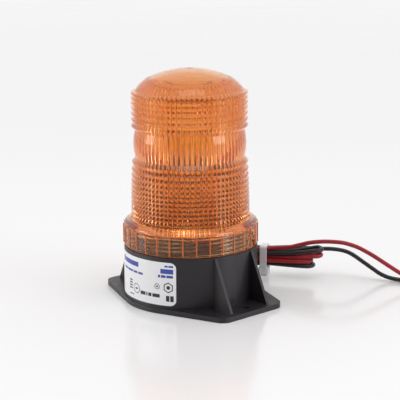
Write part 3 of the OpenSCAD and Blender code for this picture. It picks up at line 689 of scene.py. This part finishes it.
def make_label_print():
    """Generic marks where the label is printed: plain bars, rings and a hexagon, and no lettering."""
    blue, dark = ([], []), ([], [])
    printed_strip(*blue, regular(-22, 29.7, 2.2, 28))
    dashes(*blue, -18.6, 28.1, (18.2,), 3.2, 0)
    dashes(*blue, -20.4, 23.6, (5.2, 7.4, 4.4, 4.6), 1.4, 0.9)
    dashes(*blue, 21.2, 31.2, (2.2, 3.2), 1.2, 0.5)
    dashes(*blue, 18.2, 26.9, (8.9,), 3.1, 0)
    dashes(*blue, 16.4, 24.2, (1.6, 3.2, 4.5), 1.7, 0.6)
    for z in (17.4, 15.6, 13.8, 12.0):
        dashes(*dark, -11.2, z, (3.6,), 0.9, 0)
    printed_strip(*dark, regular(-2.6, 13.4, 3.3, 36), regular(-2.6, 13.4, 2.9, 36))
    dashes(*dark, -3.8, 12.9, (2.4,), 1.0, 0)
    dashes(*dark, 1.6, 10.6, (4.6, 1.0, 2.6, 5.6), 2.3, 0.7)
    dashes(*dark, -10.8, 8.2, (2.6, 1.8), 0.8, 0.5)
    printed_strip(*dark, regular(15.6, 18.0, 1.9, 28), regular(15.6, 18.0, 1.55, 28))
    printed_strip(*dark, regular(15.6, 18.0, 0.7, 20))
    printed_strip(*dark, regular(23.6, 17.8, 3.6, 6, 0.5), regular(23.6, 17.8, 2.9, 6, 0.5))
    printed_strip(*dark, regular(23.6, 17.8, 1.4, 6, 0.5))
    dashes(*dark, 22.0, 8.6, (2.3, 2.3), 3.8, 0.6)
    inks = (("label_print_blue", blue, (0.05, 0.09, 0.42), (0.03, 0.06, 0.3)),
            ("label_print_dark", dark, (0.03, 0.03, 0.034), (0.015, 0.015, 0.018)))
    for name, (verts, faces), light, shade in inks:
        ink = moulded(name, light, shade, 0.42, grain=0.2, depth=0.004, edge=None)
        mesh_object(name, verts, faces, ink, "base")


# ---------------------------------------------------------------- CAD nodes' own materials


def dress(material, *names):
    """Gives CAD nodes that material and smooth round faces."""
    for name in names:
        node = nodes[name]
        node.data.materials.clear()
        node.data.materials.append(material)
        smooth_by_angle(node, 28)


def dress_nodes():
    housing = moulded("housing_black", (0.016, 0.012, 0.016), (0.011, 0.0085, 0.011), 0.42, 0.3, 0.014, 0.3)
    dress(housing, "base_housing", "bottom_cover")
    dress(moulded("label_film", (0.86, 0.86, 0.87), (0.82, 0.82, 0.84), 0.34, 0.9, 0.004, None), "label")
    rubber = moulded("black_rubber", (0.03, 0.03, 0.03), (0.018, 0.018, 0.018), 0.7, 0.2, 0.02)
    dress(rubber, "lens_gasket", "cover_seal", "wire_grommet")
    dress(nylon(), "cable_tie")
    steel = metal("plated_steel", (0.66, 0.66, 0.68), (0.5, 0.5, 0.52))
    dress(steel, "cover_screws", "post_screws", "board_screws", "transistor_screw", "tube_electrodes")
    white = moulded("ivory_plastic", (0.72, 0.7, 0.64), (0.64, 0.62, 0.56), 0.4)
    dress(white, "tube_post", "transformer_bobbin")
    dress(moulded("plug_brown", (0.05, 0.03, 0.022), (0.03, 0.018, 0.014), 0.45), "tube_plug", "tube_socket")
    brass = metal("brass", (0.72, 0.53, 0.24), (0.56, 0.39, 0.16))
    dress(brass, "tube_pins", "socket_contacts", "solder_posts")
    dress(clear_glass(), "tube_glass")
    dress(metal("nickel_wire", (0.62, 0.6, 0.56), (0.5, 0.48, 0.44)), "trigger_wire")
    dress(lead_material("white_wire", (0.7, 0.7, 0.68), (0.6, 0.6, 0.58)), "post_wires")
    dress(moulded("board_green", (0.03, 0.16, 0.06), (0.02, 0.12, 0.045), 0.35, 0.5, 0.02), "circuit_board")
    dress(moulded("ferrite", (0.07, 0.068, 0.07), (0.04, 0.04, 0.042), 0.6, 0.25, 0.03), "transformer_core")
    copper = metal("enamelled_copper", (0.6, 0.26, 0.1), (0.45, 0.18, 0.07), 0.3, (1, 1, 6))
    dress(copper, "transformer_winding")
    dress(metal("capacitor_can", (0.7, 0.7, 0.71), (0.6, 0.6, 0.62)), "storage_capacitor")
    dress(moulded("sleeve_blue", (0.03, 0.06, 0.2), (0.02, 0.045, 0.16), 0.3, 0.6, 0.008), "capacitor_sleeve")
    dress(moulded("coil_tape", (0.5, 0.36, 0.06), (0.42, 0.29, 0.04), 0.35, 0.6, 0.02), "trigger_coil")
    dress(metal("extruded_aluminium", (0.74, 0.75, 0.76), (0.64, 0.65, 0.66), 0.36, (1, 1, 0.2)), "heat_sink")
    epoxy = moulded("epoxy_black", (0.03, 0.03, 0.032), (0.02, 0.02, 0.021), 0.5)
    dress(epoxy, "switching_transistor", "diodes")
    dress(moulded("film_red", (0.34, 0.04, 0.03), (0.26, 0.03, 0.02), 0.3), "film_capacitors")
    dress(moulded("resistor_beige", (0.5, 0.42, 0.3), (0.42, 0.35, 0.25), 0.5), "power_resistors")
    dress(lead_material("red_pvc_inside", (0.36, 0.012, 0.02), (0.27, 0.008, 0.014)), "inner_red_lead")
    dress(lead_material("black_pvc_inside", (0.02, 0.019, 0.021), (0.01, 0.01, 0.01)), "inner_black_lead")


# ---------------------------------------------------------------- stage and light


def make_stage():
    """A wide pale floor, slightly glossy."""
    size, steps = 30.0, 24
    verts = [((i / steps - 0.5) * size / MM, (j / steps - 0.5) * size / MM, 0)
             for j in range(steps + 1) for i in range(steps + 1)]
    row = steps + 1
    faces = [(j * row + i, j * row + i + 1, (j + 1) * row + i + 1, (j + 1) * row + i)
             for j in range(steps) for i in range(steps)]
    material, tree, shader, coords = new_material("floor")
    cloud = noise(tree, coords, 400, 2)
    tone = ramp(tree, cloud, [(0.3, (0.785, 0.785, 0.79)), (0.7, (0.8, 0.8, 0.805))])
    tree.links.new(tone, shader.inputs["Base Color"])
    tree.links.new(spread(tree, cloud, 0.14, 0.18), shader.inputs["Roughness"])
    shader.inputs["Specular IOR Level"].default_value = 0.35
    mesh = bpy.data.meshes.new("floor")
    mesh.from_pydata([[c * MM for c in v] for v in verts], [], faces)
    mesh.materials.append(material)
    floor = bpy.data.objects.new("floor", mesh)
    bpy.context.scene.collection.objects.link(floor)


PHOTO_AZIMUTH = 49.2


def soft_light(name, azimuth, elevation, distance, size, strength):
    """A softbox: azimuth is degrees to the camera's right, seen from the object."""
    data = bpy.data.lights.new(name, "AREA")
    data.shape = "RECTANGLE"
    data.size, data.size_y = size
    data.energy = strength
    light = bpy.data.objects.new(name, data)
    bpy.context.scene.collection.objects.link(light)
    a, e = math.radians(azimuth + PHOTO_AZIMUTH), math.radians(elevation)
    away = Vector((math.sin(a) * math.cos(e), -math.cos(a) * math.cos(e), math.sin(e)))
    light.location = Vector((0, 0, 0.09)) + away * distance
    light.rotation_mode = "QUATERNION"
    light.rotation_quaternion = away.to_track_quat("Z", "Y")


def make_light():
    """White round the object, and a darker room behind the camera."""
    world = bpy.data.worlds.new("world")
    world.use_nodes = True
    tree = world.node_tree
    coords = tree.nodes.new("ShaderNodeTexCoord")
    facing = tree.nodes.new("ShaderNodeVectorMath")
    facing.operation = "DOT_PRODUCT"
    facing.inputs[1].default_value = (0.735, -0.634, -0.24)
    tree.links.new(coords.outputs["Generated"], facing.inputs[0])
    fade = ramp(tree, facing.outputs["Value"], [(0.0, (1.0,) * 3), (0.5, (1.0,) * 3), (0.7, (0.04,) * 3)])
    background = tree.nodes["Background"]
    tree.links.new(fade, background.inputs["Color"])
    background.inputs["Strength"].default_value = 1.02
    bpy.context.scene.world = world
    soft_light("left_softbox", -88, 10, 1.1, (0.42, 0.42), 2.2)
    soft_light("right_softbox", 62, 14, 1.1, (0.5, 0.42), 2.6)
    soft_light("top_softbox", 10, 68, 1.3, (0.9, 0.7), 3.2)
    bpy.context.scene.view_settings.view_transform = "Standard"


make_camera()
make_leads()
make_lens()
make_label_print()
dress_nodes()
make_stage()
make_light()
